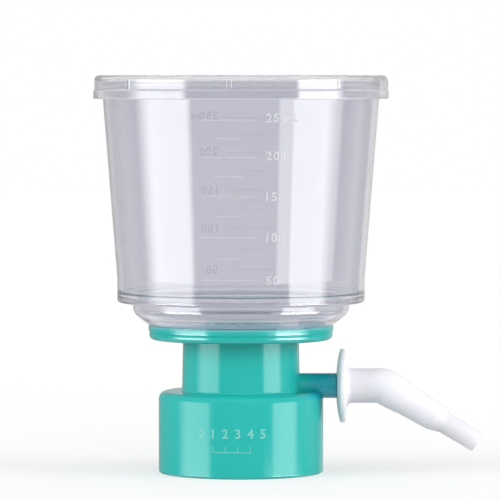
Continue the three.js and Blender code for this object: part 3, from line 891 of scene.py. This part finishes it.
def lettering(text, height, x, z, spread=1.2, centred=False):
    """Plain numbers as flat artwork in x and z, from their left end or centred on x, at a height."""
    curve = bpy.data.curves.new(text, "FONT")
    curve.body = text
    curve.resolution_u = 3
    curve.space_character = spread
    curve.offset = LETTER_WEIGHT
    drawn = link(curve)
    mesh = bpy.data.meshes.new_from_object(drawn.evaluated_get(bpy.context.evaluated_depsgraph_get()))
    bpy.data.objects.remove(drawn)
    digits = [v.co for v in mesh.vertices]
    left = min(p.x for p in digits)
    if centred:
        left = (left + max(p.x for p in digits)) / 2
    scale = height / LETTER_TALL
    points = [Vector((x + (p.x - left) * scale, 0, z + (p.y - LETTER_TALL / 2) * scale)) for p in digits]
    return points, [tuple(p.vertices) for p in mesh.polygons]


def stroke(left, right, z, width):
    """A level line as flat artwork, in short stretches so that it can bend round the wall."""
    parts = max(2, math.ceil((right - left) / STROKE_STEP))
    points, faces = [], []
    for k in range(parts + 1):
        x = left + (right - left) * k / parts
        points += [Vector((x, 0, z - width / 2)), Vector((x, 0, z + width / 2))]
    for k in range(parts):
        faces.append((2 * k, 2 * k + 2, 2 * k + 3, 2 * k + 1))
    return points, faces


def artwork(name, parts):
    """One flat piece of several parts of artwork."""
    points, faces = [], []
    for some, sides in parts:
        faces += [tuple(k + len(points) for k in side) for side in sides]
        points += some
    mesh = bpy.data.meshes.new(name)
    mesh.from_pydata([p * MM for p in points], [], faces)
    return link(mesh)


LOW_LINE = (50, 58.7)  # millilitres and height of the lowest line
DIGIT_H = 2.5
HIGH_DIGITS = {200: 0.6, 250: 0.7}  # how far the uppermost numbers stand over their lines
LONG_LINE = (-11.4, 4.2)
SHORT_LINE = (-7.9, 0.6)
LINE_WIDTH = 0.15
INK_LIFT = 0.005  # between a wall and its print
INK_DEPTH = 0.02
DIGITS_LEFT = 7.4
UNIT_LEFT = 13.3
UNIT_H = 2.3
MARKS = 6
MARKS_LEFT = -12.0
MARKS_PITCH = 3.7
MARKS_H = 2.7
MARKS_Z = 13.4
TICK_WIDTH = 0.18
TICK_H = 1.9
TICK_Z = MARKS_Z - 4.6
RULE_WIDTH = 0.2
RULE_Z = MARKS_Z - 5.5


def cup_scale(name, turn, ink):
    """Lines at every 25 mL, and numbers at every 50 mL."""
    parts = []
    for volume in range(50, 251, 25):
        z = fill_height(volume, *LOW_LINE)
        numbered = volume % 50 == 0
        parts.append(stroke(*(LONG_LINE if numbered else SHORT_LINE), z, LINE_WIDTH))
        if numbered:
            level = z + HIGH_DIGITS.get(volume, 0)
            parts.append(lettering(str(volume), DIGIT_H, DIGITS_LEFT, level))
    parts.append(lettering("mL", UNIT_H, UNIT_LEFT, level, 0.9))
    scale = grown(
        artwork(name, parts), print_on_wall,
        foot_radius=(SKIRT_R + INK_LIFT) * MM, foot_height=SKIRT_TOP * MM, flare=WALL_FLARE,
        turn=turn, ink=INK_DEPTH * MM, material=ink,
    )
    return dressed(scale, name, ink)


def collar_marks():
    """A short row of plain numbers over a small ruled line, on the front of the collar."""
    parts = []
    for number in range(MARKS):
        x = MARKS_LEFT + MARKS_PITCH * number
        parts.append(lettering(str(number), MARKS_H, x, MARKS_Z, centred=True))
        if 0 < number < MARKS - 1:
            parts.append(stroke(x - TICK_WIDTH / 2, x + TICK_WIDTH / 2, TICK_Z, TICK_H))
    rule_end = MARKS_LEFT + (MARKS - 2) * MARKS_PITCH
    parts.append(stroke(MARKS_LEFT + MARKS_PITCH, rule_end, RULE_Z, RULE_WIDTH))
    marks = grown(
        artwork("collar_marks", parts), print_on_wall,
        foot_radius=(COLLAR_R + INK_LIFT) * MM, foot_height=0.0, flare=0.0,
        turn=0.0, ink=INK_DEPTH * MM, material=mint_ink,
    )
    return dressed(marks, "collar_marks", mint_ink)


# ---- Lid

def lid_shell():
    """Top, side and stepped band. A ring of points inside each rounded edge keeps both flats even."""
    inner_band = LID_INNER_R + LID_STEP
    return turned("lid_shell", rounded([
        (0, LID_CEILING),
        (LID_INNER_R - LID_INNER_ROUND - 0.3, LID_CEILING),
        (LID_INNER_R, LID_CEILING, LID_INNER_ROUND),
        (LID_INNER_R, LID_STEP_TOP, 0.15),
        (inner_band, LID_BAND_TOP, 0.15),
        (inner_band, LID_BOTTOM, 0.15),
        (LID_BAND_R, LID_BOTTOM, 0.45),
        (LID_BAND_R, LID_BAND_TOP, 0.2),
        (LID_R, LID_STEP_TOP, 0.2),
        (LID_R, LID_TOP, LID_ROUND),
        (LID_R - LID_ROUND - 0.3, LID_TOP),
        (0, LID_TOP),
    ]))


def lid_ribs():
    """Upright ribs inside the lid, and the low pads with sloped sides that show outside where they stand."""
    low = (-LID_RIB_HALF, -LID_INNER_R - 0.2, LID_STEP_TOP)
    high = (LID_RIB_HALF, -LID_INNER_R + LID_RIB_DEPTH, LID_CEILING + 0.6)
    ribs = bar("lid_ribs", low, high, LID_RIB_TAPER)
    for half_width, height, slope in LID_PADS:
        low = (-half_width, -LID_R - height, PAD_FOOT)
        high = (half_width, -LID_R + PAD_SINK, PAD_TOP)
        pad = bar("lid_pad", low, high, -(height + PAD_SINK) / math.tan(slope))
        ribs = combine(ribs, pad, "UNION")
    return grown(ribs, copies_round_axis,
                 count=LID_RIBS, turn=LID_RIB_TURN, material=clear_lid)


def cup_lid():
    return dressed(combine(lid_shell(), lid_ribs(), "UNION"), "cup_lid", clear_lid, LID_SMOOTH_ANGLE)


# ---- Connector

def nozzle_radius(s):
    return CONE_START_R + (CONE_END_R - CONE_START_R) * s / CONE_L


def hose_nozzle():
    """Hub, domed disc, bent tube, cone and tip, with the socket and the bore inside."""
    bend = BEND_END - BEND_TANGENT  # the bend's corner, measured along the nozzle
    bead = SPIGOT_BEAD - HUB_X
    socket_r = SPIGOT_R + GAP
    socket_end = SPIGOT_END + GAP - HUB_X
    step_r = nozzle_radius(RING_STEP)
    outline = rounded([
        (HUB_R, 0, 1.2),
        (HUB_R + 3.2, 0.4, 5),
        (DISC_R, DISC_FACE, 0.7),
        (DISC_R, DISC_BACK, 0.7),
        (TUBE_R + 1.6, DISC_BACK + 0.15, 1.5),
        (TUBE_R, DISC_BACK + 1, 1.2),
        (TUBE_R, BEND_START - 0.6, 2),
        (CONE_START_R, BEND_END, 2),
        (step_r, bend + RING_STEP, 0.1),
        (step_r - RING_DEPTH, bend + RING_STEP + 0.12, 0.1),
        (CONE_END_R + 0.05, bend + CONE_L - 0.4, 1.3),
        (TIP_R, bend + TIP_START, 1.6),
        (TIP_END_R, bend + TIP_END, 0.5),
        (TUBE_BORE_R, bend + TIP_END, 0.2),
        (TUBE_BORE_R, socket_end),
        (socket_r, socket_end),
        (socket_r, bead + BEAD_REACH),
        (socket_r + BEAD_RISE, bead),
        (socket_r, bead - BEAD_REACH),
        (socket_r, 0, 0.2),
    ])
    tube = turned("hose_nozzle", refined(outline, TUBE_STEP), along_connector, TUBE_SIDES)
    return dressed(tube, "hose_nozzle", milky)


def vent_filter():
    start = BEND_END - BEND_TANGENT + PLUG_START
    end = start + PLUG_L
    r = TUBE_BORE_R - GAP
    plug = turned("vent_filter", rounded([(0, start), (r, start, 0.4), (r, end, 0.4), (0, end)]),
                  along_connector, PLUG_SIDES)
    return dressed(plug, "vent_filter", fibre)


# ---- The unit

copies_round_axis = ring_tree()
print_on_wall = print_tree()

PIECES = [  # piece, body, material slot, CAD node it stands for
    (filter_base(), "filter_body", "teal_plastic", "base"),
    (sealing_ring(), "filter_body", "gasket", "bottle_gasket"),
    (holed_plate(), "filter_body", "white_plate", "support_plate"),
    (filter_membrane(), "filter_body", "white_membrane", "membrane"),
    (filter_cup(), "filter_body", "clear_cup", "cup"),
    (weld_ribs(), "filter_body", None, None),
    (cup_scale("cup_scale_front", 0.0, white_ink), "filter_body", None, None),
    (cup_scale("cup_scale_back", math.pi, thin_ink), "filter_body", None, None),
    (collar_marks(), "filter_body", None, None),
    (cup_lid(), "lid", "clear_lid", "lid"),
    (hose_nozzle(), "connector", "milky_nozzle", "hose_connector"),
    (vent_filter(), "connector", "fibre", "vent_plug"),
]
for piece, body, slot, cad_node in PIECES:
    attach(piece, body)
    if cad_node:
        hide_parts(cad_node)


# ---- Stage, light and camera

AMBIENT = 0.72  # of the even light that falls on every surface
LAMPS = (  # degrees from the front towards the arm, degrees up, and strength on a surface that faces it
    ("side_lamp_left", -68, 13, 0.62),
    ("side_lamp_right", 70, 13, 0.62),
    ("front_lamp", 12, 16, 0.25),
)
LAMP_SPREAD = math.radians(40)
FLOOR_ALBEDO = 0.5
FLOOR_LIGHT = AMBIENT + sum(strength * math.sin(math.radians(rise)) for _, _, rise, strength in LAMPS)
FLOOR_REACH = 3.0
ROOM = 0.36  # what a gloss shows of the room about the unit
BACKDROP = math.radians(167)  # middle of the pale backdrop behind the unit
BACKDROP_EDGES = (0.88, 0.94)  # cosines of the angles from it where it starts, and is full
BACKDROP_LIGHT = 0.6
TABLE_EDGES = (-0.3, -0.6)  # and of the white table under the unit
OVERHEAD_EDGES = (0.5, 0.75)  # where the light overhead starts, and is full
OVERHEAD_LIGHT = 0.2
SOFTBOX_TOP = (0.13, 0.2)  # where the softboxes fade out
SOFTBOX_FOOT = (-0.35, -0.45)  # at the top, and at the foot
SOFTBOX_ZONES = (-0.13, -0.235)  # between their upper, middle and lower part
ZONE_BLEND = 0.015  # and how far they blend there, up and down
SOFTBOXES = (  # degrees from the front: start, full, still full, end; strength of its three parts
    (-102, -79, -48, -41, (3.4, 4.35, 12)),
    (43, 48, 77, 90, (4.1, 4.3, 19)),
    (80, 88, 91, 97, (0, 1.5, 8)),
    (31, 35, 42, 49, (0, 2.2, 2.2)),
    (85, 95, 118, 132, (0.3, -0.2, 0.8)),
    (-132, -118, -102, -88, (0.1, -0.15, 0.4)),
)
CAMERA_AT = Vector((-0.0114, -1.25, 0.118))
CAMERA_AIM = Vector((-0.0114, 0, 0.066))
LENS = 304
SENSOR = 36
CLIP = (0.05, 20)
CLEAR_BOUNCES = 64  # light crosses many clear walls
SHADOW_BOUNCES = 16


def ray_kinds(tree):
    """One for rays seen straight or through clear walls, and one for those that a gloss sends back."""
    path = node(tree, "ShaderNodeLightPath").outputs
    through = path["Is Transmission Ray"]
    direct = maths(tree, "MAXIMUM", path["Is Camera Ray"], through)
    mirrored = maths(tree, "MULTIPLY", path["Is Glossy Ray"], maths(tree, "SUBTRACT", 1.0, through))
    return direct, mirrored


def number_mix(tree, factor, first, second):
    return node(tree, "ShaderNodeMix", {0: factor, 2: first, 3: second}, data_type="FLOAT").outputs[0]


def softbox(tree, azimuth, height, edges, parts):
    """What one softbox adds: soft at both sides, with its own strength in each of three heights."""
    start, full, still_full, end = (math.radians(edge) for edge in edges)
    glow = maths(tree, "MULTIPLY", step_between(tree, azimuth, start, full),
                 step_between(tree, azimuth, still_full, end, 1.0, 0.0))
    upper, middle, lower = parts
    high, low = SOFTBOX_ZONES
    strength = step_between(tree, height, high - ZONE_BLEND, high + ZONE_BLEND, middle, upper)
    below = step_between(tree, height, low - ZONE_BLEND, low + ZONE_BLEND, 1.0, 0.0)
    return maths(tree, "MULTIPLY", glow, number_mix(tree, below, strength, lower))


def mirrored_room(tree):
    """The studio as a gloss shows it: a dim room, the pale backdrop and table, and the tall softboxes."""
    towards = node(tree, "ShaderNodeTexCoord").outputs["Generated"]
    way = parts_of(tree, towards)
    azimuth = maths(tree, "ARCTAN2", way["X"], maths(tree, "MULTIPLY", way["Y"], -1.0))
    middle = (math.sin(BACKDROP), -math.cos(BACKDROP), 0)
    to_backdrop = node(tree, "ShaderNodeVectorMath", {0: towards, 1: middle}, operation="DOT_PRODUCT")
    backdrop = step_between(tree, to_backdrop.outputs["Value"], *BACKDROP_EDGES, ROOM, BACKDROP_LIGHT)
    room = number_mix(tree, step_between(tree, way["Z"], *TABLE_EDGES), backdrop, 1.0)
    overhead = step_between(tree, way["Z"], *OVERHEAD_EDGES, 0.0, OVERHEAD_LIGHT)
    room = maths(tree, "ADD", room, overhead)
    glow = 0.0
    for *edges, parts in SOFTBOXES:
        glow = maths(tree, "ADD", softbox(tree, azimuth, way["Z"], edges, parts), glow)
    under_top = step_between(tree, way["Z"], *SOFTBOX_TOP, 1.0, 0.0)
    over_foot = step_between(tree, way["Z"], *SOFTBOX_FOOT, 1.0, 0.0)
    glow = maths(tree, "MULTIPLY", glow, maths(tree, "MULTIPLY", under_top, over_foot))
    return maths(tree, "ADD", room, glow)


def studio_world():
    """White where it is seen, the studio where it is mirrored, and otherwise an even light."""
    world = bpy.data.worlds.new("studio")
    world.use_nodes = True
    world.cycles.sampling_method = "NONE"
    tree = world.node_tree
    tree.nodes.clear()
    direct, mirrored = ray_kinds(tree)
    strength = number_mix(tree, mirrored, AMBIENT, mirrored_room(tree))
    strength = number_mix(tree, direct, strength, 1.0)
    sky = node(tree, "ShaderNodeBackground", {"Color": (1, 1, 1, 1), "Strength": strength})
    put(tree, node(tree, "ShaderNodeOutputWorld").inputs[0], sky.outputs[0])
    bpy.context.scene.world = world


def studio_floor():
    """A wide pale floor, white to the eye, which keeps the unit's shadow."""
    mesh = bpy.data.meshes.new("floor")
    reach = FLOOR_REACH
    mesh.from_pydata([(-reach, -reach, 0), (reach, -reach, 0), (reach, reach, 0), (-reach, reach, 0)],
                     [], [(0, 1, 2, 3)])
    floor = link(mesh)
    material, tree = blank_material("floor")
    direct, mirrored = ray_kinds(tree)
    paint = node(tree, "ShaderNodeBsdfDiffuse", {"Color": (FLOOR_ALBEDO, FLOOR_ALBEDO, FLOOR_ALBEDO, 1)})
    glow = node(tree, "ShaderNodeEmission",
                {"Strength": maths(tree, "MULTIPLY", direct, 1 - FLOOR_ALBEDO * FLOOR_LIGHT)})
    both = node(tree, "ShaderNodeAddShader", {0: paint.outputs[0], 1: glow.outputs[0]}).outputs[0]
    free = node(tree, "ShaderNodeBsdfTransparent").outputs[0]
    mesh.materials.append(finished(material, shader_mix(tree, mirrored, both, free)))


def soft_lamp(name, azimuth, rise, strength):
    """A wide soft lamp, which lights the unit but isn't seen."""
    data = bpy.data.lights.new(name, "SUN")
    data.energy = strength * math.pi
    data.angle = LAMP_SPREAD
    lamp = link(data)
    turn = math.radians(azimuth)
    level = math.cos(math.radians(rise))
    way = Vector((math.sin(turn) * level, -math.cos(turn) * level, math.sin(math.radians(rise))))
    lamp.location = way
    lamp.rotation_euler = (-way).to_track_quat("-Z", "Y").to_euler()
    lamp.visible_camera = False
    lamp.visible_glossy = False
    lamp.visible_transmission = False


def studio_camera():
    data = bpy.data.cameras.new("camera")
    data.sensor_width = SENSOR
    data.lens = LENS
    data.clip_start, data.clip_end = CLIP
    camera = link(data)
    camera.location = CAMERA_AT
    camera.rotation_euler = (CAMERA_AIM - CAMERA_AT).to_track_quat("-Z", "Y").to_euler()
    bpy.context.scene.camera = camera


studio_world()
studio_floor()
for lamp in LAMPS:
    soft_lamp(*lamp)
studio_camera()
bpy.context.scene.view_settings.view_transform = "Standard"
cycles = bpy.context.scene.cycles
cycles.max_bounces = cycles.glossy_bounces = cycles.transmission_bounces = CLEAR_BOUNCES
cycles.transparent_max_bounces = SHADOW_BOUNCES
